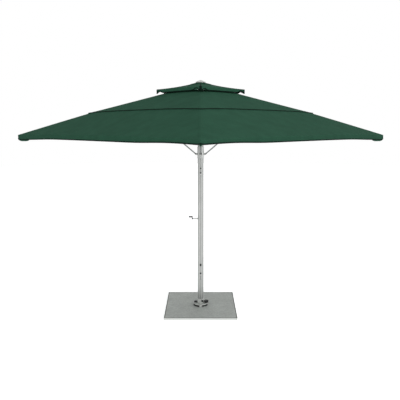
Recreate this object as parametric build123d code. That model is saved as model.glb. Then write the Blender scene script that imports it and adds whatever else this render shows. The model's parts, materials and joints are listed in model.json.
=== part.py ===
"""Square patio umbrella on a plate base. Millimetres, +Z up.

The origin is the middle of the base plate's underside, on the mast's axis.
The square canopy has one rib to each corner, and the corners lie on +X, +Y, -X and -Y.
"""
from build123d import *
from math import atan2, cos, degrees, hypot, radians, sin, sqrt
import os

# ---- driving dimensions ----
SIDES = {"right": 0, "back": 90, "left": 180, "front": 270}  # degrees about Z

PLATE = 980            # side of the base plate
PLATE_T = 28           # its height
SHEET_T = 5            # steel sheet it is folded from
BAR = (700, 100, 16)   # each ballast bar under it
BAR_AT = (-360, -210, 210, 360)
FLANGE_R = 103
FLANGE_Z = 50          # underside of the foot flange
FLANGE_TOP = 59
LUG = (16, 25)         # half width and height of the light lug at the flange's front
SOCKET_R = 46
SOCKET_TOP = 114
STUD_R = 5
KNOB_AT = (-70, 8)
KNOB_R = 22
GRIP_WIDE = 32         # radius of the broad grip on the right
LEVER_AT = (80, -12)
SCREW_AT = ((0, -88), (-6, 88))
CLAMP_DEG = -68        # direction of the clamp screw about the mast
CLAMP_Z = 97

MAST_R = 41
MAST_BORE = 38
FLUTES = 8
FLUTE_R = 9
FLUTE_DEPTH = 2.1
MAST_FOOT = 59.5
MAST_SPLIT = 560
MAST_TOP = 3030
JOINER = (400, 700)    # inner sleeve's bottom and top
JOINER_SCREWS = (416.5, 447)
BOLT_Z = 500
BUTTON_Z = 622
BUTTON = (23, 34)
PIN_HOLES = (1920, 1980)
PLUG_R = 10.5
RIVET = (1897, 6)       # height and radius of the rivet below them
SLOT_DEG = 45          # direction of the lift slot
SLOT = (1402, 2240)    # its bottom and top

WINCH_Z = 1277
CABLE_R = 2
CABLE_OUT = 16         # centre line of the cable from the drum's and the sheave's axis
SHAFT_R = 6
KNUCKLE_X = -116
ARM = (-62, 38)        # the crank arm's run along Y and Z
GRIP_R = 9.5
SHEAVE_Z = 3006

RUNNER = (2115, 2270)  # collar's bottom and top when open
RUNNER_R = 44.6
BUSH_R = 42.4
EAR = (64, 2173)       # strut pivot on the runner, r and z
EAR_GAP = 15
EAR_T = 6              # thickness of each cheek, on the runner and on the hub
SLUG_Z = 2228

HINGE = (55, 3090)     # rib pivot on the hub, r and z
HUB_GAP = 13
STRUT_TOP = (800, 2795)
STRUT = (16, 14, 1.6)  # depth, width and wall

APEX = 3100            # where the main canopy's ridge line would reach the axis
MID = (1514, 2717)     # ridge at the panel seam, r and z
CORNER = (2475, 2430)  # ridge at the corner
VENT_HOLE = 490        # r of the hole in the main canopy, along a ridge
CLOTH_T = 4            # thickness of the plain cloth solids
HEM = 54
RIB = (22, 34, 1.8)    # width, depth and wall
RIB_DROP = 35          # rib's centre line below the ridge
RIB_START = 150
RIB_END = 2425
POCKET = (2335, 2442)
POCKET_W = 41
POCKET_DROP = 66
VENT = ((50, 3115.5), (300, 3054), (590, 3026))  # vent ridge: r and z
VENT_HEM = 45
CROWN = (34, 140)      # inner and outer r of the reinforcing tent at the top
CROWN_T = 2
CROWN_GAP = 1.5
CAP_R = 66
CAP_SKIRT = (5, 7)     # thickness and depth of the cap's edge
CAP_Z = 3124.5
CAP_TOP = 3153
NECK_R = 22
SEAM_GAP = 0.3         # each quarter of cloth stops this far from its neighbour's plane


# ---- helpers ----
def save(name, *shapes):
    """Write the shapes as one node."""
    solids = [s for shape in shapes for s in shape.solids()]
    export_step(Compound(children=solids), f"parts/{name}.step")


def ring(outer, inner, low, high):
    """A tube on the Z axis."""
    tube = Cylinder(outer, high - low) - Cylinder(inner, high - low + 2)
    return Pos(0, 0, (low + high) / 2) * tube


def disc(radius, low, high, x=0, y=0):
    return Pos(x, y, (low + high) / 2) * Cylinder(radius, high - low)


def block(x, y, z):
    """A box from its (low, high) pairs."""
    middle = (x[0] + x[1]) / 2, (y[0] + y[1]) / 2, (z[0] + z[1]) / 2
    return Pos(*middle) * Box(x[1] - x[0], y[1] - y[0], z[1] - z[0])


def rod(start, end, radius):
    """A round bar between two points."""
    start, end = Vector(*start), Vector(*end)
    along = end - start
    place = Plane(origin=start, z_dir=along.normalized())
    return place * Pos(0, 0, along.length / 2) * Cylinder(radius, along.length)


def cross_rod(r, z, radius, width, y=0):
    """A round bar along Y at (r, z)."""
    return Pos(r, y, z) * Rot(90, 0, 0) * Cylinder(radius, width)


def plate(points, width, y=0):
    """A plate in the X-Z plane, centred on y."""
    outline = make_face(Polyline(*points, close=True))
    return Pos(0, y, 0) * extrude(Plane.XZ * outline, width / 2, both=True)


def turned(angle, shape):
    return Rot(0, 0, angle) * shape


def ridge(r):
    """Height of the main canopy's ridge at r."""
    if r <= MID[0]:
        return APEX + (MID[1] - APEX) * r / MID[0]
    share = (r - MID[0]) / (CORNER[0] - MID[0])
    return MID[1] + (CORNER[1] - MID[1]) * share


def rib_z(r):
    return ridge(r) - RIB_DROP


def offset_line(rs, shift):
    """Points along the rib's centre line at each r, moved up by shift square to it."""
    points = []
    for r in rs:
        slope = (rib_z(r + 1) - rib_z(r - 1)) / 2
        lean = sqrt(1 + slope * slope)
        points.append((r - shift * slope / lean, rib_z(r) + shift / lean))
    return points


def rib_prism(rs, depth, width):
    top = offset_line(rs, depth / 2)
    bottom = offset_line(rs[::-1], -depth / 2)
    return plate(top + bottom, width)


def facet(inner, outer, side, thick=CLOTH_T, seam=SEAM_GAP):
    """A flat facet of cloth between two square rings (r, z), from the ridge to the 45 degree plane."""
    gap = seam * sqrt(2)
    corners = []
    for r, z in (inner, outer):
        corners.append([(r, 0, z), ((r + gap) / 2, side * (r - gap) / 2, z)])
    outline = [Vector(*point) for point in corners[0] + corners[1][::-1]]
    face = Face(Wire.make_polygon(outline, close=True))
    return extrude(face, amount=thick, dir=(0, 0, -1))


def hem_prism(outer, z, drop, side):
    """The band that hangs from the outer edge of one facet."""
    gap = SEAM_GAP * sqrt(2)
    inner = outer - CLOTH_T * sqrt(2)
    corners = [(outer, 0), ((outer + gap) / 2, side * (outer - gap) / 2)]
    corners += [((inner + gap) / 2, side * (inner - gap) / 2), (inner, 0)]
    face = make_face(Polyline(*corners, close=True))
    return extrude(Pos(0, 0, z - 1) * face, amount=drop - 1, dir=(0, 0, -1))


def cloth_quarter(rings, drop):
    """One quarter of a square tent with its hem, over the +X rib."""
    quarter = None
    for side in (1, -1):
        pieces = [facet(a, b, side) for a, b in zip(rings, rings[1:])]
        pieces.append(hem_prism(*rings[-1], drop, side))
        for piece in pieces:
            quarter = piece if quarter is None else quarter + piece
    return quarter


# ---- base and foot ----
def base_plate():
    inside = PLATE / 2 - SHEET_T
    tray = block((-PLATE / 2, PLATE / 2), (-PLATE / 2, PLATE / 2), (0, PLATE_T))
    tray -= block((-inside, inside), (-inside, inside), (-1, PLATE_T - SHEET_T))
    for x, y in (KNOB_AT, LEVER_AT, *SCREW_AT):
        tray -= disc(STUD_R + 0.3, 0, PLATE_T + 1, x, y)
    return tray


def ballast_bars():
    long, wide, high = BAR
    top = PLATE_T - SHEET_T
    bars = []
    for y in BAR_AT:
        bars.append(block((-long / 2, long / 2), (y - wide / 2, y + wide / 2), (top - high, top)))
    return bars


def stud_holes(shape):
    for x, y in (KNOB_AT, LEVER_AT, *SCREW_AT):
        shape -= disc(STUD_R + 0.3, PLATE_T - 1, FLANGE_TOP + 1, x, y)
    return shape


def front_lug(gap):
    """The flange's front lug, or the notch it stands in."""
    half, high = LUG
    x = (-half - gap, half + gap)
    return block(x, (-FLANGE_R - 2, -FLANGE_R + 8 + gap), (PLATE_T + 1 - gap, PLATE_T + 1 + high + gap))


def foot_gasket():
    pad = ring(FLANGE_R - 2, 30, PLATE_T, FLANGE_Z)
    return stud_holes(pad - front_lug(1))


def clamp_place(r):
    """A plane whose z runs outwards along the clamp screw, r from the mast's axis."""
    turn = radians(CLAMP_DEG)
    origin = (r * cos(turn), r * sin(turn), CLAMP_Z)
    return Plane(origin=origin, z_dir=(cos(turn), sin(turn), 0))


def foot_flange():
    flange = disc(FLANGE_R, FLANGE_Z, FLANGE_TOP)
    flange = chamfer(flange.edges().group_by(Axis.Z)[-1], 2)
    flange += ring(SOCKET_R, MAST_R + 1.5, FLANGE_TOP, SOCKET_TOP)
    flange += clamp_place(44) * Pos(0, 0, 4) * Cylinder(9, 8)
    flange += front_lug(0)
    flange -= clamp_place(40) * Pos(0, 0, 8) * Cylinder(4.05, 16)
    flange -= disc(30, FLANGE_Z - 1, FLANGE_TOP + 1)
    return stud_holes(flange)


def foot_studs():
    """Two welded studs for the knob and the lever, and two plain cap screws."""
    under = PLATE_T - SHEET_T
    studs = []
    for (x, y), top in ((KNOB_AT, FLANGE_TOP + 11), (LEVER_AT, FLANGE_TOP + 19)):
        studs.append(disc(10, under - 4, under, x, y) + disc(STUD_R, under - 4, top, x, y))
    for x, y in SCREW_AT:
        head = disc(9, FLANGE_TOP, FLANGE_TOP + 6, x, y)
        head -= Pos(x, y, FLANGE_TOP + 6) * extrude(RegularPolygon(4, 6), -3)
        studs.append(head + disc(STUD_R, under - 4, FLANGE_TOP + 1, x, y))
    return studs


def foot_collar():
    collar = ring(50, MAST_R + 0.3, SOCKET_TOP, SOCKET_TOP + 8)
    return chamfer(collar.edges().group_by(Axis.Z)[-1], 1.5)


def lobed(radius, low, high, lobes, bite):
    """A hand knob with finger flutes."""
    knob = disc(radius, low, high)
    for k in range(lobes):
        turn = radians(360 / lobes * k)
        reach = radius + bite * 0.55
        knob -= disc(bite, low - 1, high + 1, reach * cos(turn), reach * sin(turn))
    return fillet(knob.edges().group_by(Axis.Z)[-1], 1.5)


def left_knob():
    low = FLANGE_TOP + 0.3
    knob = lobed(KNOB_R, low + 4, low + 15, 6, 5) + disc(8, low, low + 5)
    knob -= disc(STUD_R + 0.05, low - 1, low + 12)
    return Pos(*KNOB_AT, 0) * knob


def right_lever():
    """A broad five-armed grip on a round base."""
    low = FLANGE_TOP + 0.3
    lever = lobed(GRIP_WIDE, low + 5, low + 31, 5, 12) + disc(14, low, low + 6)
    lever -= disc(STUD_R + 0.05, low - 1, low + 20)
    return Pos(*LEVER_AT, 0) * lever


def clamp_screw():
    """Hand screw that presses the mast in its socket."""
    shank = Pos(0, 0, 6.5) * Cylinder(4, 15)
    knob = Pos(0, 0, 8.3) * lobed(14, 5, 19, 5, 4)
    return clamp_place(42.6) * (shank + knob)


# ---- mast ----
def fluted_tube(low, high):
    profile = Circle(MAST_R)
    reach = MAST_R + FLUTE_R - FLUTE_DEPTH
    for k in range(FLUTES):
        turn = radians(360 / FLUTES * k)
        profile -= Pos(reach * cos(turn), reach * sin(turn)) * Circle(FLUTE_R)
    profile -= Circle(MAST_BORE)
    return extrude(Pos(0, 0, low) * profile, amount=high - low)


def button_window(depth_from, depth_to, extra):
    """The button's outline, extruded along Y."""
    outline = RectangleRounded(BUTTON[0] + extra, BUTTON[1] + extra, 6)
    place = Plane(origin=(0, depth_from, BUTTON_Z), x_dir=(1, 0, 0), z_dir=(0, 1, 0))
    return extrude(place * outline, amount=depth_to - depth_from)


def front_hole(z, radius):
    return rod((0, -MAST_R - 9, z), (0, -MAST_BORE + 12, z), radius)


def mast_lower():
    tube = fluted_tube(MAST_FOOT, MAST_SPLIT)
    for z in JOINER_SCREWS:
        tube -= front_hole(z, 3.05)
    return tube - front_hole(BOLT_Z, 5.05)


def mast_upper():
    tube = fluted_tube(MAST_SPLIT, MAST_TOP)
    tube -= button_window(-MAST_R - 5, -MAST_R + 16, 1)
    for z in PIN_HOLES:
        tube -= front_hole(z, PLUG_R + 0.05)
    tube -= front_hole(RIVET[0], RIVET[1] + 0.05)
    tube -= rod((-MAST_R - 5, 0, WINCH_Z), (-MAST_BORE + 8, 0, WINCH_Z), 9)
    slot = block((MAST_BORE - 8, MAST_R + 2), (-5.5, 5.5), SLOT)
    return tube - turned(SLOT_DEG, slot)


def mast_joiner():
    sleeve = ring(MAST_BORE - 0.1, 34, *JOINER)
    sleeve -= button_window(-MAST_R - 5, -MAST_R + 16, 1)
    for z in JOINER_SCREWS:
        sleeve -= front_hole(z, 3.05)
    return sleeve - front_hole(BOLT_Z, 5.05)


def hole_plugs():
    """Black plugs in the two pin holes, held inside the wall."""
    return [rod((0, -MAST_R + 1.6, z), (0, -MAST_BORE - 0.05, z), PLUG_R) for z in PIN_HOLES]


def front_rivet():
    """A rivet that ends inside the flute, clear of the runner's bush and slug."""
    z, radius = RIVET
    return rod((0, -MAST_R + 0.9, z), (0, -MAST_BORE, z), radius)


def front_screw(z, shank, head, head_t):
    """A screw into the front of the mast, its head outside."""
    screw = rod((0, -MAST_R - 0.1, z), (0, -33, z), shank)
    screw += rod((0, -MAST_R - 0.1 - head_t, z), (0, -MAST_R - 0.1, z), head)
    edge = screw.edges().group_by(Axis.Y)[0]
    return fillet(edge, head_t * 0.4)


def release_button():
    """Spring button that locks the upper mast on the sleeve."""
    button = button_window(-MAST_R - 3, -29, 0)
    button = fillet(button.edges().group_by(Axis.Y)[0], 1.2)
    flange = Pos(0, -29, BUTTON_Z) * Box(27, 3, 40)
    return button + flange


def button_spring():
    """Bent leaf between the button and the back of the sleeve."""
    front, back, low = -27.4, 31, BUTTON_Z - 55
    outside = [(front, BUTTON_Z + 8), (front, low + 20), (0, low), (back, low + 20), (back, low + 70)]
    inside = [(back - 1, low + 70), (back - 1, low + 21), (0, low + 1.2), (front + 1, low + 21)]
    inside.append((front + 1, BUTTON_Z + 8))
    leaf = make_face(Polyline(*outside, *inside, close=True))
    return extrude(Plane.YZ * leaf, 5, both=True)


# ---- winch and crank ----
def winch_frame():
    """Block inside the mast that carries the crank shaft and hides the drum."""
    frame = disc(MAST_BORE - 0.3, WINCH_Z - 38, WINCH_Z + 34)
    frame -= block((-14, 14), (-26, 26), (WINCH_Z - 27, WINCH_Z + 40))
    return frame - rod((-45, 0, WINCH_Z), (31, 0, WINCH_Z), SHAFT_R + 0.06)


def crank_bush():
    bush = rod((-45, 0, WINCH_Z), (-38, 0, WINCH_Z), 8.9)
    bush += rod((-46, 0, WINCH_Z), (-41.2, 0, WINCH_Z), 12)
    return bush - rod((-50, 0, WINCH_Z), (-30, 0, WINCH_Z), SHAFT_R + 0.06)


def crank_shaft():
    return rod((KNUCKLE_X, 0, WINCH_Z), (30, 0, WINCH_Z), SHAFT_R)


def winch_drum():
    drum = rod((-12, 0, WINCH_Z), (12, 0, WINCH_Z), CABLE_OUT - CABLE_R)
    for x in (-12, 10):
        drum += rod((x, 0, WINCH_Z), (x + 2, 0, WINCH_Z), 23)
    return drum - rod((-13, 0, WINCH_Z), (13, 0, WINCH_Z), SHAFT_R)


def crank_arm():
    """Knuckle on the shaft, arm, and the pin that the grip turns on."""
    y, z = ARM[0], WINCH_Z + ARM[1]
    arm = rod((KNUCKLE_X - 8, 0, WINCH_Z), (KNUCKLE_X + 8, 0, WINCH_Z), 11)
    arm += rod((KNUCKLE_X, 0, WINCH_Z), (KNUCKLE_X, y, z), 6)
    arm += rod((KNUCKLE_X - 7, y, z), (KNUCKLE_X + 7, y, z), 9)
    arm += rod((KNUCKLE_X, y, z), (KNUCKLE_X - 46, y, z), 4.5)
    arm += rod((KNUCKLE_X - 44, y, z), (KNUCKLE_X - 48, y, z), 7)
    return arm - rod((KNUCKLE_X, 0, WINCH_Z), (30, 0, WINCH_Z), SHAFT_R)


def crank_grip():
    y, z = ARM[0], WINCH_Z + ARM[1]
    grip = rod((KNUCKLE_X - 43.7, y, z), (KNUCKLE_X - 7.3, y, z), GRIP_R)
    grip = fillet(grip.edges(), 2)
    return grip - rod((KNUCKLE_X - 50, y, z), (KNUCKLE_X, y, z), 4.56)


def top_sheave():
    sheave = rod((-4, 0, SHEAVE_Z), (4, 0, SHEAVE_Z), CABLE_OUT - CABLE_R)
    for x in (-4, 2.5):
        sheave += rod((x, 0, SHEAVE_Z), (x + 1.5, 0, SHEAVE_Z), CABLE_OUT + 3)
    return sheave - rod((-5, 0, SHEAVE_Z), (5, 0, SHEAVE_Z), 4.05)


def sheave_axle():
    return rod((-36, 0, SHEAVE_Z), (36, 0, SHEAVE_Z), 4)


def lift_cable():
    """From the drum up the mast and over the sheave."""
    out = CABLE_OUT + 0.02
    rise = rod((0, out, WINCH_Z), (0, out, SHEAVE_Z), CABLE_R)
    loop = Pos(0, 0, SHEAVE_Z) * Rot(0, 90, 0) * Torus(out, CABLE_R)
    loop &= block((-5, 5), (-30, 30), (SHEAVE_Z, SHEAVE_Z + 30))
    return rise + loop


def cable_fall():
    out = CABLE_OUT + 0.02
    return rod((0, -out, SLUG_Z + 32), (0, -out, SHEAVE_Z), CABLE_R)


# ---- runner ----
def runner_collar():
    low, high = RUNNER
    collar = ring(RUNNER_R, BUSH_R, low, high)
    for start, end in ((low, low + 8), (high - 6, high)):
        collar += ring(RUNNER_R + 1, BUSH_R, start, end)
    r, z = EAR
    cheek = [(RUNNER_R - 1.2, z - 15), (r - 4, z - 11), (r + 8, z - 9), (r + 12, z)]
    cheek += [(r + 8, z + 9), (r - 4, z + 11), (RUNNER_R - 1.2, z + 17)]
    slot = block((r - 40, r + 40), (-EAR_GAP / 2, EAR_GAP / 2), (z - 40, z + 40))
    ear = plate(cheek, EAR_GAP + 2 * EAR_T) - slot
    ear -= cross_rod(r, z, 4.05, 60)
    for angle in SIDES.values():
        collar += turned(angle, ear)
    collar -= disc(BUSH_R, low - 1, high + 1)
    return collar - lift_bolt(5)


def runner_bush():
    low, high = RUNNER
    return ring(BUSH_R, MAST_R + 0.35, low + 3, high - 3) - lift_bolt(5)


def lift_bolt(radius):
    """The bolt through the slot that joins the slug to the collar."""
    return turned(SLOT_DEG, rod((20, 0, SLUG_Z), (RUNNER_R - 0.5, 0, SLUG_Z), radius))


def lift_slug():
    slug = disc(MAST_BORE - 1, SLUG_Z - 32, SLUG_Z + 32)
    slug -= disc(4, SLUG_Z - 33, SLUG_Z + 33, 0, CABLE_OUT)
    return slug + lift_bolt(4.9)


def runner_bolts():
    """Bolt ends in the ears; the strut's eye sits between them on the real bolt."""
    r, z = EAR
    inner, outer = EAR_GAP / 2, EAR_GAP / 2 + EAR_T
    bolts = []
    for angle in SIDES.values():
        for side in (1, -1):
            stub = cross_rod(r, z, 4, EAR_T, side * (inner + outer) / 2)
            head = cross_rod(r, z, 7, 4, side * (outer + 2))
            bolts.append(turned(angle, stub + head))
    return bolts


# ---- hub and cap ----
def hub():
    body = disc(MAST_BORE - 0.1, 2960, MAST_TOP) + disc(42.5, MAST_TOP, MAST_TOP + 10)
    body += disc(36, MAST_TOP + 10, HINGE[1] + 14)
    body += disc(NECK_R, HINGE[1] + 14, CAP_Z)
    body -= disc(31, 2959, MAST_TOP + 4)
    body -= disc(4, CAP_Z - 30, CAP_Z + 1)
    body -= rod((-36.1, 0, SHEAVE_Z), (36.1, 0, SHEAVE_Z), 4.02)
    r, z = HINGE
    cheek = [(30, z - 34), (r, z - 16), (r + 12, z - 6), (r + 12, z + 5), (r + 6, z + 12), (30, z + 13)]
    ear = plate(cheek, HUB_GAP + 2 * EAR_T) - block((36, 99), (-HUB_GAP / 2, HUB_GAP / 2), (z - 60, z + 40))
    ear -= cross_rod(r, z, 5, 60)
    for angle in SIDES.values():
        body += turned(angle, ear)
    return body


def hub_pins():
    r, z = HINGE
    width = HUB_GAP + 2 * EAR_T
    pins = []
    for angle in SIDES.values():
        pin = cross_rod(r, z, 4.98, width)
        for side in (1, -1):
            pin += cross_rod(r, z, 7, 2, side * (width / 2 + 1))
        pins.append(turned(angle, pin))
    return pins


def top_cap():
    rim = Pos(0, 0, CAP_Z + 2) * Cylinder(CAP_R, 4)
    cone = Pos(0, 0, (CAP_Z + 4 + CAP_TOP) / 2) * Cone(CAP_R - 1, 5, CAP_TOP - CAP_Z - 4)
    thick, deep = CAP_SKIRT
    skirt = ring(CAP_R, CAP_R - thick, CAP_Z - deep, CAP_Z)
    return rim + cone + skirt - disc(4.02, CAP_Z - 1, CAP_Z + 16)


def cap_stud():
    return disc(3.98, CAP_Z - 29, CAP_Z + 15)


def vent_crown():
    """Small reinforcing tent under the cap, over the vent canopy's top."""
    (r0, z0), (r1, z1) = VENT[:2]
    slope = (z1 - z0) / (r1 - r0)
    inner, outer = [(r, z0 + slope * (r - r0) + CROWN_T + CROWN_GAP) for r in CROWN]
    tent = None
    for angle in SIDES.values():
        for side in (1, -1):
            flat = turned(angle, facet(inner, outer, side, CROWN_T, 0))
            tent = flat if tent is None else tent + flat
    return tent


# ---- one side: rib, fittings, strut and cloth, drawn over +X ----
def rib():
    rs = [RIB_START, MID[0], RIB_END]
    width, depth, wall = RIB
    tube = rib_prism(rs, depth, width)
    bore = rib_prism([RIB_START - 20, MID[0], RIB_END + 20], depth - 2 * wall, width - 2 * wall)
    return tube - bore


def rib_plug(start, end):
    """Bar that fills the rib's bore, a sliding fit."""
    width, depth, wall = RIB
    return rib_prism([start, end], depth - 2 * wall - 0.2, width - 2 * wall - 0.2)


def rib_end_fitting():
    """Eye on the hub pin, arm and plug in the rib."""
    r, z = HINGE
    start_z = rib_z(RIB_START)
    arm = [(r - 3, z - 10), (r + 4, z + 10), (RIB_START, start_z + 15), (RIB_START + 6, start_z + 13)]
    arm += [(RIB_START + 6, start_z - 15), (RIB_START - 3, start_z - 13)]
    width = HUB_GAP - 1
    eye = cross_rod(r, z, 11, width)
    return rib_plug(RIB_START + 0.2, RIB_START + 55) + plate(arm, width) + eye - cross_rod(r, z, 5.04, 40)


def strut_bracket():
    """Two cheeks riveted to the rib, with the strut's pin."""
    r, z = STRUT_TOP
    top = rib_z(r)
    cheek = [(r - 36, top + 22), (r + 36, top + 4), (r + 30, top - 16), (r + 13, z), (r + 9, z - 9)]
    cheek += [(r, z - 13), (r - 9, z - 9), (r - 13, z), (r - 30, top - 4)]
    bracket = None
    for side in (1, -1):
        flank = plate(cheek, 3, side * (RIB[0] / 2 + 1.6))
        flank += cross_rod(r, z, 8, 3, side * (RIB[0] / 2 + 4.6))
        bracket = flank if bracket is None else bracket + flank
    return bracket + cross_rod(r, z, 4, RIB[0] + 8)


def rib_tip():
    return rib_plug(RIB_END - 40, RIB_END + 1) + rib_prism([RIB_END, RIB_END + 8], RIB[1], RIB[0])


def vent_arm():
    """Bent arm on the rib that holds up a corner of the vent canopy."""
    foot = [offset_line([r], RIB[1] / 2 + 0.2)[0] for r in (355, 430)]
    tip_r, tip_z = 564, 3010
    arm = [foot[0], (foot[0][0] + 2, foot[0][1] + 6), (415, foot[1][1] + 12), (tip_r, tip_z + 7)]
    arm += [(tip_r + 4, tip_z + 3), (tip_r, tip_z), (440, foot[1][1] + 4), foot[1]]
    return plate(arm, 18)


def strut():
    (r0, z0), (r1, z1) = EAR, STRUT_TOP
    depth, width, wall = STRUT
    long = hypot(r1 - r0, z1 - z0)
    lean = degrees(atan2(z1 - z0, r1 - r0))
    half = depth / 2
    tube = plate([(15, -half), (long - 15, -half), (long - 15, half), (15, half)], width)
    inner = half - wall
    bore = plate([(30, -inner), (long - 30, -inner), (long - 30, inner), (30, inner)], width - 2 * wall)
    low_eye = cross_rod(0, 0, 11, width) + plate([(0, -10), (17, -10), (17, 10), (0, 10)], width)
    top_eye = cross_rod(long, 0, 11, RIB[0] - 1)
    top_eye += plate([(long - 17, -10), (long, -10), (long, 10), (long - 17, 10)], width)
    arm = tube - bore + low_eye + top_eye
    arm -= cross_rod(0, 0, 4.2, 40)
    arm -= cross_rod(long, 0, 4.05, 40)
    return Pos(r0, 0, z0) * Rot(0, -lean, 0) * arm


def canopy_quarter():
    rings = [(r, ridge(r)) for r in (VENT_HOLE, MID[0], CORNER[0])]
    return cloth_quarter(rings, HEM)


def vent_quarter():
    return cloth_quarter(VENT, VENT_HEM)


def corner_pocket():
    """Cloth sleeve under the corner that the rib's tip sits in."""
    low, high = POCKET
    wall = 3
    top = [(r, ridge(r + POCKET_W / 2) - CLOTH_T - 0.4) for r in (low, high)]
    floor = [(r, ridge(r) - POCKET_DROP) for r in (high, low)]
    sleeve = plate(top + floor, POCKET_W)
    inside = [(low - 5, ridge(low) + 9), (high - wall, ridge(high) + 9)]
    inside += [(r, ridge(r) - POCKET_DROP + wall) for r in (high - wall, low - 5)]
    return sleeve - plate(inside, POCKET_W - 2 * wall)


# ---- write the nodes ----
def write_fixed():
    save("base_plate", base_plate())
    save("ballast_bars", *ballast_bars())
    save("foot_gasket", foot_gasket())
    save("foot_flange", foot_flange())
    save("foot_studs", *foot_studs())
    save("foot_collar", foot_collar())
    save("mast_lower", mast_lower())
    save("mast_upper", mast_upper())
    save("mast_joiner", mast_joiner())
    save("mast_rivet", front_rivet())
    save("hole_plugs", *hole_plugs())
    save("joint_bolts", front_screw(BOLT_Z, 5, 12, 8), *[front_screw(z, 3, 6, 2.5) for z in JOINER_SCREWS])
    save("button_spring", button_spring())
    save("winch_frame", winch_frame())
    save("crank_bush", crank_bush())
    save("lift_cable", lift_cable())
    save("cable_fall", cable_fall())
    save("hub", hub())
    save("hub_pins", *hub_pins())
    save("sheave_axle", sheave_axle())
    save("top_cap", top_cap())
    save("cap_stud", cap_stud())
    save("vent_crown", vent_crown())


def write_moving():
    save("left_knob", left_knob())
    save("right_lever", right_lever())
    save("clamp_screw", clamp_screw())
    save("release_button", release_button())
    save("crank_shaft", crank_shaft())
    save("winch_drum", winch_drum())
    save("crank_arm", crank_arm())
    save("crank_grip", crank_grip())
    save("top_sheave", top_sheave())
    save("runner_collar", runner_collar())
    save("runner_bush", runner_bush())
    save("runner_bolts", *runner_bolts())
    save("lift_slug", lift_slug())


def write_sides():
    made = {
        "rib": [rib()],
        "rib_fittings": [rib_end_fitting(), strut_bracket(), rib_tip(), vent_arm()],
        "strut": [strut()],
        "canopy": [canopy_quarter()],
        "vent_canopy": [vent_quarter()],
        "corner_pocket": [corner_pocket()],
    }
    for side, angle in SIDES.items():
        for name, shapes in made.items():
            save(f"{name}_{side}", *[turned(angle, shape) for shape in shapes])


os.makedirs("parts", exist_ok=True)
write_fixed()
write_moving()
write_sides()
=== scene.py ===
"""Looks of the square patio umbrella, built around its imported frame. Metres, +Z up.

The canopy, the vent canopy and the corner pockets are modelled here as thin sewn cloth.
Each is drawn once, over the +X rib, and turned to the other three ribs.
"""
import json
from math import atan, cos, exp, pi, radians, sin, sqrt

import bmesh
import bpy
from mathutils import Matrix, Vector


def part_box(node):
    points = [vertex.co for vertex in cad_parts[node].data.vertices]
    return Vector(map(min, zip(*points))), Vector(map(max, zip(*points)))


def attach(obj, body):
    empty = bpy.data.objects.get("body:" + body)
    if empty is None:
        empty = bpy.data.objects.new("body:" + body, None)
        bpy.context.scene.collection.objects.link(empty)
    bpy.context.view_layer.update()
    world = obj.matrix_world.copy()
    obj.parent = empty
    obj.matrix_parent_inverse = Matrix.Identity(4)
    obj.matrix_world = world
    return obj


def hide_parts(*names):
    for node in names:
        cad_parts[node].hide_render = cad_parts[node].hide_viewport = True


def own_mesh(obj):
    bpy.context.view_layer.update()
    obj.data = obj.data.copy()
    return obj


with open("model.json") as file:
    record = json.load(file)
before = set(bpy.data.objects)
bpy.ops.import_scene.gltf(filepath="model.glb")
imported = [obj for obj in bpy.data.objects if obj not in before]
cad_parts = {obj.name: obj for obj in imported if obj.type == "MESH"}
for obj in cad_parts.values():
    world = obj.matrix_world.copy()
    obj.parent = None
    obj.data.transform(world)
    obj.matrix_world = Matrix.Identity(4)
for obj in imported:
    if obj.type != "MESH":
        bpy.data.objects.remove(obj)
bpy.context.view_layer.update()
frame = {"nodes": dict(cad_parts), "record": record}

# ---- driving dimensions ----
SIDES = {"right": 0, "back": 90, "left": 180, "front": 270}  # degrees about Z
CORNER_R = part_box("canopy_right")[1].x  # r of the canopy's corner
CORNER_Z = 2.430
SEAM_R, SEAM_Z = 1.514, 2.717           # ridge at the panel seam
APEX_Z = 3.100                          # where the ridge line would reach the axis
HOLE_R = 0.455                          # hole under the vent, along a ridge
CLOTH = 0.0016                          # cloth thickness
CROWN_RISE = 0.013                      # the cloth stands up this far off the ridge's straight slopes
FOLD_R, FOLD_FADE = 0.005, 0.030        # rounding of the ridge and of the corner's upright fold
EDGE_PULL = 0.014                       # the edges curve in by this much between corners
STEP_DOWN, STEP_UP = 0.0045, 0.004      # at the seam: dip of the lower panel, lift of the upper one's edge
HEM_DEPTH = 0.053
HEM_CHANGE = {"right": 0.010, "back": -0.018, "left": 0.010, "front": -0.018}  # near each corner
HEM_CHANGE_HALF = 0.50                  # how far along the rim that change reaches
HEM_BEND = 0.007                        # radius at which the edge turns down
HEM_NOTCH = (0.22, 0.016)               # cut back at the corner itself: share of the depth, half width
SAG = 0.006                             # the panels hang this far below flat
PANEL_SLOPE = 0.298                     # mean fall of the ridge, for the flat cloth
COLUMN_COUNT = 26                       # columns of the cloth's mesh each side of a ridge
PANEL_ROWS, HEM_ROWS = 26, 5            # rows of each canopy panel's mesh, and of its hem's

VENT_TOP_R, VENT_TOP_Z = 0.046, 3.1160
VENT_R = 0.590
VENT_FALL, VENT_EASE = 0.1360, 0.500    # fall of the vent's curved ridge, and how soon it levels
VENT_PULL = 0.014                       # the vent's edges curve in by this much between corners
VENT_EAR = (0.048, 0.017)               # depth and half width of the hem at a vent corner
VENT_HEM = 0.042
VENT_GAPS = ((-0.054, 0.030, 0.60), (0.050, 0.020, 0.40))  # hem drawn up: place, half width, share
VENT_BEND = 0.005                       # radius at which its edge turns down
VENT_FOLD = (0.004, 0.02)               # rounding of the vent's ridge, and how far it reaches
VENT_ROWS, VENT_HEM_ROWS = 24, 4
EAR_ROWS = 10                           # rows of the vent's mesh under its dark corner facing
EAR_OFF, EAR_THICK = 0.0016, 0.0012     # the facing's stand-off and thickness
CROWN_INNER, CROWN_OUTER = 0.030, 0.140  # the crown patch's hole and its rim
CROWN_LIFT = 0.0055                     # the crown patch lies this far above the vent's ridge
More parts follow.
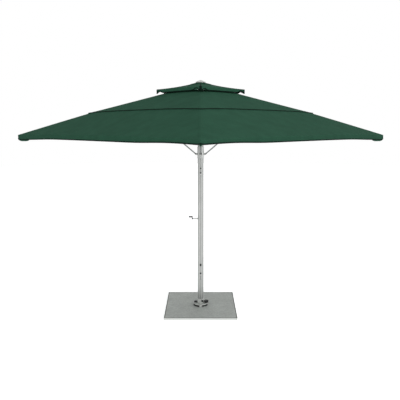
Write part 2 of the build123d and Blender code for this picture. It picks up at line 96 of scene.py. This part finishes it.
CROWN_ROWS, CROWN_COLUMNS = 10, 8

POCKET_START, POCKET_END = 2.318, 2.440  # along the rib, where its top edges begin and end
POCKET_LIP = 2.462                      # where its keel ends
POCKET_HALF = 0.0205
POCKET_LOW = {"right": 2.349, "back": 2.380, "left": 2.349, "front": 2.380}  # z of its lowest line
POCKET_ROUND = (0.022, 0.09)            # how far its ends curl up, and over what share of its length
POCKET_ROWS, POCKET_COLUMNS = 14, 12    # its mesh along its length, and round each half of it
LIP_BARE = 7                            # columns at each top edge that have no bound lip
LIP_R, KEEL_R = 0.0030, 0.0035          # binding round the pocket's mouth, and the seam along its keel
PATCH = 0.0018                          # thickness of the pocket's cloth and of the crown patch

MAST_FLUTE, MAST_FACE = 0.0388, 0.0407  # radii near the flutes' floor and near the mast's face: bounds of the painted shade in the flutes
PLATE_EDGE, PLATE_TOP = 0.478, 0.028    # where the base plate's bent edge begins, and its top: bounds of the painted shade and painted highlight on that edge
THREAD = 0.0018                         # the weave's pitch
STITCH, STITCH_HALF = 0.0055, 0.0007    # pitch of the stitches, and half the width of their thread
NO_HEM = 9.0                            # further down than any cloth reaches, so no painted shade on a hem

# ---- colours, linear ----
GREEN = (0.0245, 0.0835, 0.0510)
DARK_GREEN = (0.0045, 0.0130, 0.0088)
ZINC = (0.540, 0.553, 0.535)

# ---- camera and light ----
# The camera stands in front of the mast, a little above the canopy's edge.
CAMERA_AT = (0.0, -6.32, 2.546)
CAMERA_TILT = 9.05
LENS = 41.67
SHIFT_X = -0.0016
FLOOR_R, FLOOR_Z = 26, -0.002
# Light from all round, and what both side walls, a slope to the right and daylight there add to it.
ROOM_LEVEL, SIDE_WALLS, RIGHT_WALL, DAYLIGHT = 0.60, 0.55, 0.16, 1.3


# ---- studio ----
def make_camera():
    data = bpy.data.cameras.new("camera")
    data.lens = LENS
    data.sensor_width = 36
    data.shift_x = SHIFT_X
    camera = bpy.data.objects.new("camera", data)
    camera.location = CAMERA_AT
    camera.rotation_euler = (radians(90 - CAMERA_TILT), 0, 0)
    bpy.context.scene.collection.objects.link(camera)
    bpy.context.scene.camera = camera


def make_light(name, place, target, size, power, in_gloss=True):
    """A square area light. Without in_gloss, shiny surfaces don't mirror it."""
    data = bpy.data.lights.new(name, "AREA")
    data.energy = power
    data.size = size
    light = bpy.data.objects.new(name, data)
    light.location = place
    light.rotation_euler = (Vector(target) - Vector(place)).to_track_quat("-Z", "Y").to_euler()
    light.visible_glossy = in_gloss
    bpy.context.scene.collection.objects.link(light)


def make_studio():
    world = bpy.data.worlds.new("studio")
    world.use_nodes = True
    light_room(world.node_tree)
    bpy.context.scene.world = world
    bpy.context.scene.view_settings.view_transform = "Standard"
    make_light("key", place=(2.0, -8.0, 3.6), target=(0, 0, 1.3), size=2.4, power=105)
    make_light("low_fill", place=(-5.0, -6.0, 1.2), target=(0, 0, 1.0), size=3.0, power=55, in_gloss=False)
    centre = (0, 0, FLOOR_Z)
    bpy.ops.mesh.primitive_circle_add(vertices=96, radius=FLOOR_R, fill_type="NGON", location=centre)
    floor = bpy.context.object
    floor.name = "floor"
    floor.data.materials.append(floor_material())


def light_room(tree):
    """White walls to the camera; as light, a room whose side walls are brighter than its ends."""
    direction = add(tree, "ShaderNodeTexCoord").outputs["Generated"]
    aside = add(tree, "ShaderNodeSeparateXYZ", Vector=direction).outputs[0]
    squared = calc(tree, "POWER", calc(tree, "ABSOLUTE", aside), 2.0)
    walls = calc(tree, "MULTIPLY", squared, SIDE_WALLS)
    slope = calc(tree, "MULTIPLY", aside, RIGHT_WALL)
    daylight = calc(tree, "POWER", calc(tree, "MAXIMUM", aside, 0.0), 10.0)
    right = calc(tree, "ADD", slope, calc(tree, "MULTIPLY", daylight, DAYLIGHT))
    strength = calc(tree, "ADD", calc(tree, "ADD", walls, right), ROOM_LEVEL)
    seen = add(tree, "ShaderNodeLightPath").outputs["Is Camera Ray"]
    background = tree.nodes["Background"]
    background.inputs["Color"].default_value = (1, 1, 1, 1)
    put(tree, background.inputs["Strength"], calc(tree, "MAXIMUM", strength, seen))


# ---- shader helpers ----
def new_material(name, **sockets):
    """A material with its Principled shader's plain values set."""
    made = bpy.data.materials.new(name)
    made.use_nodes = True
    shader = made.node_tree.nodes["Principled BSDF"]
    for socket, value in sockets.items():
        shader.inputs[socket.replace("_", " ")].default_value = value
    return made, made.node_tree, shader


def put(tree, socket, value):
    """Give an input a value, or a link if the value is another node's output."""
    if isinstance(value, bpy.types.NodeSocket):
        tree.links.new(value, socket)
    else:
        socket.default_value = value


def add(tree, kind, settings=(), **inputs):
    node = tree.nodes.new(kind)
    for key, value in dict(settings).items():
        setattr(node, key, value)
    for key, value in inputs.items():
        put(tree, node.inputs[key.replace("_", " ")], value)
    return node


def calc(tree, operation, *values):
    """A Math node's output."""
    node = add(tree, "ShaderNodeMath", {"operation": operation})
    for socket, value in zip(node.inputs, values):
        put(tree, socket, value)
    return node.outputs[0]


def mix(tree, share, first, second):
    """Two colours mixed by share."""
    node = add(tree, "ShaderNodeMix", {"data_type": "RGBA"})
    for index, value in ((0, share), (6, first), (7, second)):
        put(tree, node.inputs[index], value)
    return node.outputs[2]


def object_place(tree, scale=(1, 1, 1)):
    place = add(tree, "ShaderNodeTexCoord").outputs["Object"]
    return add(tree, "ShaderNodeMapping", Vector=place, Scale=scale).outputs[0]


def noise(tree, place, scale, detail=3.0):
    return add(tree, "ShaderNodeTexNoise", Vector=place, Scale=scale, Detail=detail).outputs["Fac"]


def between(tree, value, low, high, out_low=0.0, out_high=1.0):
    """Value mapped from low..high to out_low..out_high, clamped."""
    node = add(tree, "ShaderNodeMapRange", Value=value)
    for key, number in zip(("From Min", "From Max", "To Min", "To Max"), (low, high, out_low, out_high)):
        node.inputs[key].default_value = number
    return node.outputs[0]


def bump(tree, shader, height, distance, strength=1.0):
    node = add(tree, "ShaderNodeBump", Height=height, Distance=distance, Strength=strength)
    tree.links.new(node.outputs[0], shader.inputs["Normal"])


def shade(colour, factor):
    return tuple(c * factor for c in colour) + (1.0,)


# ---- materials ----
def floor_material():
    made, tree, shader = new_material("floor", Roughness=0.9, Emission_Strength=0.62)
    shader.inputs["Emission Color"].default_value = (1, 1, 1, 1)
    grain = noise(tree, object_place(tree), 9.0)
    put(tree, shader.inputs["Base Color"], mix(tree, grain, (0.78, 0.78, 0.78, 1), (0.82, 0.82, 0.82, 1)))
    return made


def stitch_line(tree, across, along, at):
    """Mask of a row of stitches where across equals at."""
    off = calc(tree, "ABSOLUTE", calc(tree, "SUBTRACT", across, at))
    line = calc(tree, "LESS_THAN", off, STITCH_HALF)
    wave = calc(tree, "SINE", calc(tree, "MULTIPLY", along, 2 * pi / STITCH))
    dash = calc(tree, "GREATER_THAN", wave, -0.45)
    return calc(tree, "MULTIPLY", line, dash)


def cloth_material(name, colour, rows=(), ridge_rows=(), hem_at=NO_HEM):
    """Woven canvas, coloured by solution dyeing, with painted shade darkening it from hem_at down its hem.

    The mesh attribute cloth has each point's place on the flat cloth. Rows of stitches run along
    the panel's edges at rows, and beside the ridge at ridge_rows.
    """
    made, tree, shader = new_material(name, Specular_IOR_Level=0.04)
    flat = add(tree, "ShaderNodeAttribute", {"attribute_name": "cloth"}).outputs["Vector"]
    parts = add(tree, "ShaderNodeSeparateXYZ", Vector=flat)
    u, v = parts.outputs[0], parts.outputs[1]
    warp = calc(tree, "SINE", calc(tree, "MULTIPLY", u, 2 * pi / THREAD))
    weft = calc(tree, "SINE", calc(tree, "MULTIPLY", v, 2 * pi / THREAD))
    weave = between(tree, calc(tree, "MULTIPLY", warp, weft), -1, 1)
    slub = noise(tree, add(tree, "ShaderNodeMapping", Vector=flat, Scale=(30, 900, 1)).outputs[0], 1.0)
    patches = noise(tree, object_place(tree), 7.0, 6.0)
    fibre = noise(tree, object_place(tree), 260.0, 4.0)
    tone = calc(tree, "ADD", calc(tree, "MULTIPLY", patches, 0.45), calc(tree, "MULTIPLY", fibre, 0.30))
    tone = calc(tree, "ADD", tone, calc(tree, "MULTIPLY", slub, 0.15))
    tone = calc(tree, "ADD", tone, calc(tree, "MULTIPLY", weave, 0.10))
    dye_and_hem_shade = mix(tree, between(tree, tone, 0.3, 0.7), shade(colour, 0.80), shade(colour, 1.20))
    sewn = 0.0
    for at in rows:
        sewn = calc(tree, "ADD", sewn, stitch_line(tree, v, u, at))
    for at in ridge_rows:
        sewn = calc(tree, "ADD", sewn, stitch_line(tree, calc(tree, "ABSOLUTE", u), v, at))
    # Painted shade: the cloth darkens from hem_at on, down the turned-down hem.
    painted_hem_shade = between(tree, v, hem_at - 0.004, hem_at + 0.002, 0.0, 0.36)
    dye_and_hem_shade = mix(tree, painted_hem_shade, dye_and_hem_shade, shade(colour, 0.2))
    put(tree, shader.inputs["Base Color"], mix(tree, sewn, dye_and_hem_shade, shade(colour, 0.45)))
    put(tree, shader.inputs["Roughness"], between(tree, fibre, 0.3, 0.7, 0.80, 0.93))
    bump(tree, shader, calc(tree, "ADD", weave, calc(tree, "MULTIPLY", slub, 0.6)), 0.00012, 0.5)
    return made


def metal_material(name, colour, rough, streak=(70, 70, 1.6), metallic=0.85, spread=0.10):
    """Anodised or brushed metal: fine streaks along one axis, soft blotches, rubbed spots."""
    made, tree, shader = new_material(name, Metallic=metallic)
    lines = noise(tree, object_place(tree, streak), 5.0, 5.0)
    blotch = noise(tree, object_place(tree), 11.0, 4.0)
    spots = noise(tree, object_place(tree), 46.0, 8.0)
    rub = calc(tree, "MULTIPLY", between(tree, spots, 0.62, 0.72), 0.3)
    tone = calc(tree, "ADD", calc(tree, "MULTIPLY", lines, 0.6), calc(tree, "MULTIPLY", blotch, 0.4))
    body = mix(tree, between(tree, tone, 0.3, 0.7), shade(colour, 1 - spread), shade(colour, 1 + spread))
    put(tree, shader.inputs["Base Color"], mix(tree, rub, body, shade(colour, 0.8)))
    put(tree, shader.inputs["Roughness"], between(tree, lines, 0.25, 0.75, rough - 0.06, rough + 0.10))
    bump(tree, shader, lines, 0.00006, 0.5)
    return made


def mast_material(colour):
    """Satin anodised tube, darkened down in its flutes by painted shade."""
    made, tree, shader = new_material("mast_aluminium", Metallic=0.85)
    place = object_place(tree)
    at = add(tree, "ShaderNodeSeparateXYZ", Vector=place)
    squares = [calc(tree, "POWER", calc(tree, "ABSOLUTE", at.outputs[k]), 2.0) for k in (0, 1)]
    radius = calc(tree, "SQRT", calc(tree, "ADD", *squares))
    lines = noise(tree, object_place(tree, (70, 70, 1.6)), 5.0, 5.0)
    blotch = noise(tree, place, 11.0, 4.0)
    tone = calc(tree, "ADD", calc(tree, "MULTIPLY", lines, 0.6), calc(tree, "MULTIPLY", blotch, 0.4))
    body = mix(tree, between(tree, tone, 0.3, 0.7), shade(colour, 0.90), shade(colour, 1.10))
    # Painted shade: the colour darkens towards the flutes' floor.
    flute_shade = between(tree, radius, MAST_FLUTE, MAST_FACE, 0.75, 0.0)
    put(tree, shader.inputs["Base Color"], mix(tree, flute_shade, body, shade(colour, 0.35)))
    put(tree, shader.inputs["Roughness"], between(tree, lines, 0.25, 0.75, 0.24, 0.38))
    bump(tree, shader, lines, 0.00006, 0.5)
    return made


def galvanised_material():
    """Hot-dip zinc: interlocked spangles, dull bloom, a few scuffs, painted shade along the top of its
    bent edges, and a painted highlight on its sides below.
    """
    made, tree, shader = new_material("galvanised_steel", Metallic=0.45)
    place = object_place(tree)
    wobble = add(tree, "ShaderNodeTexNoise", Vector=place, Scale=14.0, Detail=2.0).outputs["Color"]
    bent = add(tree, "ShaderNodeVectorMath", {"operation": "MULTIPLY_ADD"})
    for socket, value in zip(bent.inputs, (wobble, (0.03, 0.03, 0.03), place)):
        put(tree, socket, value)
    cells = add(tree, "ShaderNodeTexVoronoi", Vector=bent.outputs[0], Scale=58.0).outputs["Color"]
    spangle = add(tree, "ShaderNodeSeparateXYZ", Vector=cells).outputs[0]
    bloom = noise(tree, place, 5.5, 7.0)
    scuff = between(tree, noise(tree, object_place(tree, (4, 90, 4)), 4.0, 6.0), 0.66, 0.74)
    tone = calc(tree, "ADD", calc(tree, "MULTIPLY", spangle, 0.35), calc(tree, "MULTIPLY", bloom, 0.65))
    zinc = mix(tree, between(tree, tone, 0.25, 0.75), shade(ZINC, 0.84), shade(ZINC, 1.16))
    zinc = mix(tree, calc(tree, "MULTIPLY", scuff, 0.35), zinc, shade(ZINC, 1.35))
    at = add(tree, "ShaderNodeSeparateXYZ", Vector=place)
    outermost = calc(tree, "MAXIMUM", *[calc(tree, "ABSOLUTE", at.outputs[k]) for k in (0, 1)])
    # Painted shade: a dark band along the plate's top edges. Painted highlight: the sides below it, made
    # lighter.
    bend = between(tree, outermost, PLATE_EDGE - 0.002, PLATE_EDGE)
    side = between(tree, at.outputs[2], PLATE_TOP - 0.0030, PLATE_TOP - 0.0015, 1.0, 0.0)
    zinc = mix(tree, calc(tree, "MULTIPLY", bend, 0.92), zinc, shade(ZINC, 0.28))
    zinc = mix(tree, calc(tree, "MULTIPLY", bend, side), zinc, shade(ZINC, 1.22))
    put(tree, shader.inputs["Base Color"], zinc)
    put(tree, shader.inputs["Roughness"], between(tree, tone, 0.2, 0.8, 0.46, 0.66))
    bump(tree, shader, tone, 0.0002, 0.4)
    return made


def cast_material(name, colour, rough=0.45):
    """Blasted casting: fine pits and a cloudy skin."""
    made, tree, shader = new_material(name, Metallic=0.7)
    grit = noise(tree, object_place(tree), 620.0, 3.0)
    cloud = noise(tree, object_place(tree), 28.0, 5.0)
    skin = mix(tree, between(tree, cloud, 0.3, 0.7), shade(colour, 0.86), shade(colour, 1.12))
    put(tree, shader.inputs["Base Color"], skin)
    put(tree, shader.inputs["Roughness"], between(tree, cloud, 0.3, 0.7, rough - 0.08, rough + 0.12))
    bump(tree, shader, grit, 0.00018, 0.6)
    return made


def plastic_material(name, colour, rough=0.5, grain=0.00012):
    """Moulded plastic or rubber: a fine grain with handled, smoother patches."""
    made, tree, shader = new_material(name, Specular_IOR_Level=0.30)
    skin = noise(tree, object_place(tree), 900.0, 2.0)
    worn = noise(tree, object_place(tree), 38.0, 5.0)
    put(tree, shader.inputs["Base Color"], mix(tree, worn, shade(colour, 0.8), shade(colour, 1.35)))
    put(tree, shader.inputs["Roughness"], between(tree, worn, 0.3, 0.7, rough - 0.12, rough + 0.12))
    bump(tree, shader, skin, grain, 0.7)
    return made


def cable_material():
    """Stranded steel rope: strands that wind along Z."""
    made, tree, shader = new_material("steel_cable", Metallic=0.9, Roughness=0.35)
    parts = add(tree, "ShaderNodeSeparateXYZ", Vector=object_place(tree, (900, 900, 420)))
    turned = calc(tree, "MULTIPLY", parts.outputs[1], 1.4)
    lay = calc(tree, "SINE", calc(tree, "ADD", parts.outputs[2], turned))
    groove = between(tree, lay, -1, 0.2)
    put(tree, shader.inputs["Base Color"], mix(tree, groove, (0.12, 0.12, 0.12, 1), (0.55, 0.55, 0.54, 1)))
    bump(tree, shader, groove, 0.0004)
    return made


def flat_v(s):
    """Distance down a panel from the mast to the ring at s, measured on the cloth."""
    return s * sqrt(0.5 + PANEL_SLOPE ** 2)


def make_materials():
    hole, seam, rim = flat_v(HOLE_R), flat_v(SEAM_R), flat_v(CORNER_R)
    # Stitches: a row at the hole, two above the seam, one below it, one above the rim, one on the hem.
    rows = (hole + 0.012, seam - 0.006, seam - 0.014, seam + 0.016, rim - 0.012, rim + 0.026)
    return {
        # The canopy cloth carries painted shade on its hem, from the rim down.
        "canopy_cloth": cloth_material("canopy_cloth", GREEN, rows, (0.030,), rim),
        "canopy_binding": cloth_material("canopy_binding", DARK_GREEN),
        "galvanised_steel": galvanised_material(),
        "ballast_iron": cast_material("ballast_iron", (0.05, 0.05, 0.05), 0.7),
        "gasket_rubber": plastic_material("gasket_rubber", (0.012, 0.012, 0.012), 0.75),
        "stainless_steel": metal_material("stainless_steel", (0.58, 0.58, 0.57), 0.28),
        "steel_cable": cable_material(),
        "black_plastic": plastic_material("black_plastic", (0.012, 0.013, 0.013), 0.45),
        "black_bolt": plastic_material("black_bolt", (0.010, 0.010, 0.011), 0.35, 0.00005),
        "mast_aluminium": mast_material((0.44, 0.45, 0.44)),
        "rib_aluminium": metal_material("rib_aluminium", (0.27, 0.28, 0.28), 0.42, (60, 60, 60)),
        "cast_aluminium": cast_material("cast_aluminium", (0.62, 0.62, 0.61)),
        "white_nylon": plastic_material("white_nylon", (0.62, 0.62, 0.60), 0.5, 0.00005),
    }


def paint_frame(materials):
    """Give every CAD node its slot's material."""
    for entry in frame["record"]["subparts"]:
        node = frame["nodes"][entry["node"]]
        node.data.materials.clear()
        node.data.materials.append(materials[entry["material_slot"]])


# ---- mesh helpers ----
def new_piece(name, points, faces, material, flat=None, sharp=40):
    """A mesh object with outward faces. Flat has each point's place on the flat cloth."""
    mesh = bpy.data.meshes.new(name)
    mesh.from_pydata([tuple(p) for p in points], [], faces)
    work = bmesh.new()
    work.from_mesh(mesh)
    bmesh.ops.recalc_face_normals(work, faces=work.faces)
    work.to_mesh(mesh)
    work.free()
    if flat:
        attribute = mesh.attributes.new("cloth", "FLOAT_VECTOR", "POINT")
        attribute.data.foreach_set("vector", [c for place in flat for c in (*place, 0.0)])
    mesh.shade_smooth()
    mesh.set_sharp_from_angle(angle=radians(sharp))
    mesh.materials.append(material)
    piece = bpy.data.objects.new(name, mesh)
    bpy.context.scene.collection.objects.link(piece)
    return piece


def grid_normal(rows, i, j):
    """Normal of a grid of points, towards the outside of the cloth."""
    down = rows[min(i + 1, len(rows) - 1)][j] - rows[max(i - 1, 0)][j]
    along = rows[i][min(j + 1, len(rows[i]) - 1)] - rows[i][max(j - 1, 0)]
    return down.cross(along).normalized()


def shell(name, rows, flat, material, thickness=CLOTH):
    """A closed skin of cloth: the outer face's rows of points, and the same rows a thickness inside."""
    high, wide = len(rows), len(rows[0])
    outer = [p for row in rows for p in row]
    inner = [rows[i][j] - grid_normal(rows, i, j) * thickness for i in range(high) for j in range(wide)]
    size = high * wide
    faces = []
    for i in range(high - 1):
        for j in range(wide - 1):
            corner = i * wide + j
            quad = (corner, corner + wide, corner + wide + 1, corner + 1)
            faces.append(quad)
            faces.append(tuple(size + k for k in reversed(quad)))
    edge = list(range(wide))
    edge += [i * wide + wide - 1 for i in range(1, high)]
    edge += [(high - 1) * wide + j for j in range(wide - 2, -1, -1)]
    edge += [i * wide for i in range(high - 2, 0, -1)]
    for a, b in zip(edge, edge[1:] + edge[:1]):
        faces.append((a, b, size + b, size + a))
    places = [p for row in flat for p in row]
    return new_piece(name, outer + inner, faces, material, places * 2)


def sweep(name, path, section, material, tilt=0.0):
    """A closed section carried along a path. Its points are (outwards, up), leaned outwards by tilt."""
    points, places = [], []
    last = len(path) - 1
    travelled = 0.0
    for i, point in enumerate(path):
        along = (path[min(i + 1, last)] - path[max(i - 1, 0)]).normalized()
        out = along.cross(Vector((0, 0, 1))).normalized()
        up = out.cross(along)
        lean_out = out * cos(tilt) - up * sin(tilt)
        lean_up = up * cos(tilt) + out * sin(tilt)
        points += [point + lean_out * a + lean_up * b for a, b in section]
        travelled += (point - path[max(i - 1, 0)]).length
        places += [(travelled, a + b) for a, b in section]
    count = len(section)
    faces = [tuple(range(count)), tuple(last * count + k for k in range(count))]
    for i in range(last):
        for k in range(count):
            a, b = i * count + k, i * count + (k + 1) % count
            faces.append((a, b, b + count, a + count))
    return new_piece(name, points, faces, material, places, 50)


def turn_to(piece, side):
    piece.data.transform(Matrix.Rotation(radians(SIDES[side]), 4, "Z"))
    return piece


def gather(piece, side):
    """Ride the side's rib."""
    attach(piece, f"rib_{side}")
    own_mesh(piece)


# ---- cloth surfaces, over the +X rib ----
# A point of the cloth lies on the square ring that crosses the ridges at s from the axis. Its place on
# the ring is t: 0 at the ridge, and -1 or 1 at the 45 degree plane on either side.
def spread(count, ease=1.6):
    """Columns from one 45 degree plane to the other, closer together at the ridge."""
    half = [(k / count) ** ease for k in range(1, count)] + [0.997, 1.0]
    return [-t for t in reversed(half)] + [0.0] + half


COLUMNS = spread(COLUMN_COUNT)


def middle(t):
    """0 at the ridge and 1 at the 45 degree plane, where it is level."""
    return 1 - (1 - abs(t)) ** 2


def reach(y):
    """How far |y| holds the ring back along x, with the fold at the ridge rounded off."""
    return sqrt(y * y + FOLD_R ** 2 * exp(-((y / FOLD_FADE) ** 2)))


def ridge(s):
    if s <= SEAM_R:
        return APEX_Z + (SEAM_Z - APEX_Z) * s / SEAM_R
    return SEAM_Z + (CORNER_Z - SEAM_Z) * (s - SEAM_R) / (CORNER_R - SEAM_R)


def sag(s):
    start, end = (HOLE_R, SEAM_R) if s <= SEAM_R else (SEAM_R, CORNER_R)
    return SAG * sin(pi * min(1, (s - start) / (end - start))) ** 2


def hem_depth(y, side):
    """The hem is cut back a little at the corner, and each corner is drawn up or hangs lower."""
    depth = HEM_DEPTH + HEM_CHANGE[side] * exp(-((y / HEM_CHANGE_HALF) ** 4))
    cut, half = HEM_NOTCH
    return depth * (1 - cut * exp(-((y / half) ** 2)))


def canopy_point(row, t, side):
    """Point of the canopy on a row (s, lift, share of the hem's depth)."""
    s, lift, hem = row
    s -= EDGE_PULL * (s / CORNER_R) * middle(t)
    y = s * t / 2
    rise = CROWN_RISE * (1 - (1 - abs(t)) ** 4)
    z = ridge(s) + rise + lift - sag(s) * middle(t) - hem * hem_depth(y, side)
    return Vector((s - reach(y), y, z))


def bend_rows(start_s, slope, radius, count):
    """Rows that turn the cloth's edge from its slope to straight down."""
    lean = atan(slope * sqrt(2))
    begin = start_s - sqrt(2) * radius * (1 - sin(lean))
    rows = []
    for k in range(1, count + 1):
        turn = lean + (pi / 2 - lean) * k / count
        s = begin + sqrt(2) * radius * (sin(turn) - sin(lean))
        fall = radius * (cos(lean) - cos(turn))
        rows.append((s, (s - begin) * slope - fall, 0.0))
    return begin, rows


def canopy_rows():
    """Upper panel, its folded edge at the seam, lower panel, and the turned-down hem."""
    slope = (SEAM_Z - CORNER_Z) / (CORNER_R - SEAM_R)
    begin, bend = bend_rows(CORNER_R, slope, HEM_BEND, HEM_ROWS)
    rows = []
    for k in range(PANEL_ROWS + 1):
        share = k / PANEL_ROWS
        rows.append((HOLE_R + (SEAM_R - HOLE_R) * share, STEP_UP * share ** 12, 0.0))
    rows += [(SEAM_R + 0.0012, STEP_UP - 0.0015, 0.0), (SEAM_R + 0.0006, -STEP_DOWN, 0.0)]
    start = SEAM_R + 0.003
    for k in range(PANEL_ROWS + 1):
        share = k / PANEL_ROWS
        rows.append((start + (begin - start) * share, -STEP_DOWN * (1 - share) ** 2, 0.0))
    rows += bend
    s, lift, _ = bend[-1]
    return rows + [(s, lift, k / HEM_ROWS) for k in range(1, HEM_ROWS + 1)]


def vent_ridge(s):
    """Height of the vent's ridge, which falls less steeply further out."""
    return VENT_TOP_Z - VENT_FALL * (1 - exp(-(s - VENT_TOP_R) / VENT_EASE))


def vent_hem_depth(y):
    """The vent's hem is drawn up on both sides of a corner, and hangs full at the corner itself."""
    depth = VENT_HEM
    for place, half, share in VENT_GAPS:
        depth -= VENT_HEM * share * exp(-(((y - place) / half) ** 2))
    ear_depth, ear_half = VENT_EAR
    at_ear = exp(-((y / ear_half) ** 6))
    return depth + (ear_depth - depth) * at_ear


def vent_point(row, t):
    s, lift, hem = row
    share = (s / VENT_R) ** 2
    s -= VENT_PULL * share * middle(t)
    y = s * t / 2
    z = vent_ridge(s) + lift - hem * vent_hem_depth(y)
    radius, fade = VENT_FOLD
    fold = radius * exp(-((y / fade) ** 2))
    return Vector((s - sqrt(y * y + fold * fold), y, z))


def vent_rows():
    slope = VENT_FALL / VENT_EASE * exp(-(VENT_R - VENT_TOP_R) / VENT_EASE)
    begin, bend = bend_rows(VENT_R, slope, VENT_BEND, VENT_HEM_ROWS)
    rows = [(VENT_TOP_R + (begin - VENT_TOP_R) * k / VENT_ROWS, 0.0, 0.0) for k in range(VENT_ROWS + 1)]
    rows += bend
    s, lift, _ = bend[-1]
    return rows + [(s, lift, k / VENT_HEM_ROWS) for k in range(1, VENT_HEM_ROWS + 1)]


def flat_places(points, rows, depth):
    """Where each point lies on the flat cloth: along the ring, and down the panel."""
    places = []
    for row, line in zip(rows, points):
        places.append([(p.y * sqrt(2), flat_v(row[0]) + row[2] * depth) for p in line])
    return places


def surface(rows, point):
    return [[point(row, t) for t in COLUMNS] for row in rows]


# ---- pieces of one side ----
# Sections of the bindings and tapes, as points (outwards, up) from the line that each is sewn along.
BINDING = [(0.0022, -0.0015), (0.0026, 0.0045), (0.0022, 0.0105)]
BINDING += [(-a, b) for a, b in reversed(BINDING)]
# The seam tape is a sewn tape; its dark colour is also painted shade for the shadow in the seam's step.
SEAM_TAPE = [(0.0022, -0.0085), (0.0028, -0.001), (0.001, 0.0016)]
SEAM_TAPE += [(-0.010, 0.0018), (-0.011, 0.0), (-0.004, -0.006)]
EDGE_TAPE = [(-0.0025, -0.003), (-0.003, 0.001), (0.004, 0.0018), (0.012, 0.0014), (0.012, -0.003)]
HIP_TAPE = [(-0.0065, 0.0), (-0.004, 0.002), (0.0, 0.0034), (0.004, 0.002), (0.0065, 0.0), (0.0, -0.002)]


def make_canopy(side, materials):
    rows = canopy_rows()
    points = surface(rows, lambda row, t: canopy_point(row, t, side))
    flat = flat_places(points, rows, HEM_DEPTH)
    cloth = shell(f"canopy_cloth_{side}", points, flat, materials["canopy_cloth"])
    slope = atan((APEX_Z - SEAM_Z) / SEAM_R * sqrt(2))
    dark = materials["canopy_binding"]
    seam_line = [canopy_point((SEAM_R, STEP_UP, 0.0), t, side) for t in COLUMNS]
    trims = [
        sweep(f"canopy_hem_binding_{side}", points[-1], BINDING, dark),
        # Partly painted shade: the dark seam tape also stands for the shadow in the seam's step.
        sweep(f"canopy_seam_tape_{side}", seam_line, SEAM_TAPE, dark, slope),
        sweep(f"canopy_hole_tape_{side}", points[0], EDGE_TAPE, dark, slope),
    ]
    for piece in [cloth] + trims:
        gather(turn_to(piece, side), side)
    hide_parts(f"canopy_{side}")
    return cloth, trims


def ear_patch(points, rows):
    """A dark facing sewn over the vent's corner: its points, and their places on the flat cloth."""
    near = [j for j, point in enumerate(points[-1]) if abs(point.y) < VENT_EAR[1]]
    places = flat_places(points, rows, VENT_EAR[0])
    picked, flat = [], []
    for i in range(len(points) - EAR_ROWS, len(points)):
        picked.append([points[i][j] + grid_normal(points, i, j) * EAR_OFF for j in near])
        flat.append([places[i][j] for j in near])
    return picked, flat


def make_vent(side, materials):
    rows = vent_rows()
    points = surface(rows, vent_point)
    flat = flat_places(points, rows, VENT_EAR[0])
    cloth = shell(f"vent_cloth_{side}", points, flat, materials["canopy_cloth"])
    dark = materials["canopy_binding"]
    hip = [line[len(COLUMNS) // 2] for line in points[1:-VENT_HEM_ROWS]]
    ear_rows, ear_flat = ear_patch(points, rows)
    trims = [
        sweep(f"vent_hem_binding_{side}", points[-1], BINDING, dark),
        sweep(f"vent_hip_tape_{side}", hip, HIP_TAPE, dark),
        shell(f"vent_ear_patch_{side}", ear_rows, ear_flat, dark, EAR_THICK),
    ]
    for piece in [cloth] + trims:
        gather(turn_to(piece, side), side)
    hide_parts(f"vent_canopy_{side}")
    return cloth, trims


def pocket_point(share, around, lowest):
    """Point of the corner pocket: share runs outwards, around runs from one top edge (-1) to the other."""
    low = 1 - abs(around) ** 2.6
    end = POCKET_END + (POCKET_LIP - POCKET_END) * low
    r = POCKET_START + (end - POCKET_START) * share
    y = POCKET_HALF * sin(pi / 2 * around) * (1 - 0.12 * low)
    top = ridge(r + abs(y)) - 0.004
    rise, fade = POCKET_ROUND
    bottom = lowest + rise * (exp(-share / fade) + exp((share - 1) / fade))
    deep = ridge(r) - bottom
    return Vector((r, y, top - (deep - 0.004) * low))


def make_pocket(side, materials):
    """Sewn sleeve under the corner that holds the rib's tip, bound along its open end."""
    shares = [k / POCKET_ROWS for k in range(POCKET_ROWS + 1)]
    arounds = [k / POCKET_COLUMNS for k in range(-POCKET_COLUMNS, POCKET_COLUMNS + 1)]
    points = [[pocket_point(share, -around, POCKET_LOW[side]) for around in arounds] for share in shares]
    flat = [[(0.08 * around, 0.13 * share) for around in arounds] for share in shares]
    cloth = shell(f"corner_pocket_cloth_{side}", points, flat, materials["canopy_cloth"], PATCH)
    mouth = points[-1][LIP_BARE:-LIP_BARE]
    lip = sweep(f"corner_pocket_lip_{side}", mouth, round_section(LIP_R), materials["canopy_binding"])
    keel = [line[POCKET_COLUMNS] for line in points]
    seam = sweep(f"corner_pocket_seam_{side}", keel, round_section(KEEL_R), materials["canopy_binding"])
    for piece in (cloth, lip, seam):
        gather(turn_to(piece, side), side)
    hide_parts(f"corner_pocket_{side}")
    return [cloth, lip, seam]


def round_section(radius, count=8):
    return [(radius * cos(2 * pi * k / count), radius * sin(2 * pi * k / count)) for k in range(count)]


def make_crown(materials):
    """Reinforcing patch under the cap, one sheet all the way round."""
    radii = [CROWN_INNER + (CROWN_OUTER - CROWN_INNER) * k / CROWN_ROWS for k in range(CROWN_ROWS + 1)]
    columns = spread(CROWN_COLUMNS)[:-1]
    points, flat = [], []
    for s in radii:
        z = vent_ridge(s) + CROWN_LIFT
        quarter = [Vector((s * (1 - abs(t) / 2), s * t / 2, z)) for t in columns]
        line = []
        for angle in SIDES.values():
            turn = Matrix.Rotation(radians(angle), 3, "Z")
            line += [turn @ point for point in quarter]
        points.append(line + line[:1])
        flat.append([(0.02 * k, flat_v(s)) for k in range(len(line) + 1)])
    patch = shell("vent_crown_patch", points, flat, materials["canopy_cloth"], PATCH)
    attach(patch, "mast")
    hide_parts("vent_crown")


def make_side(side, materials):
    pocket = make_pocket(side, materials)
    canopy, canopy_trims = make_canopy(side, materials)
    vent, vent_trims = make_vent(side, materials)


# ---- build ----
make_camera()
make_studio()
finishes = make_materials()
paint_frame(finishes)
make_crown(finishes)
for name in SIDES:
    make_side(name, finishes)
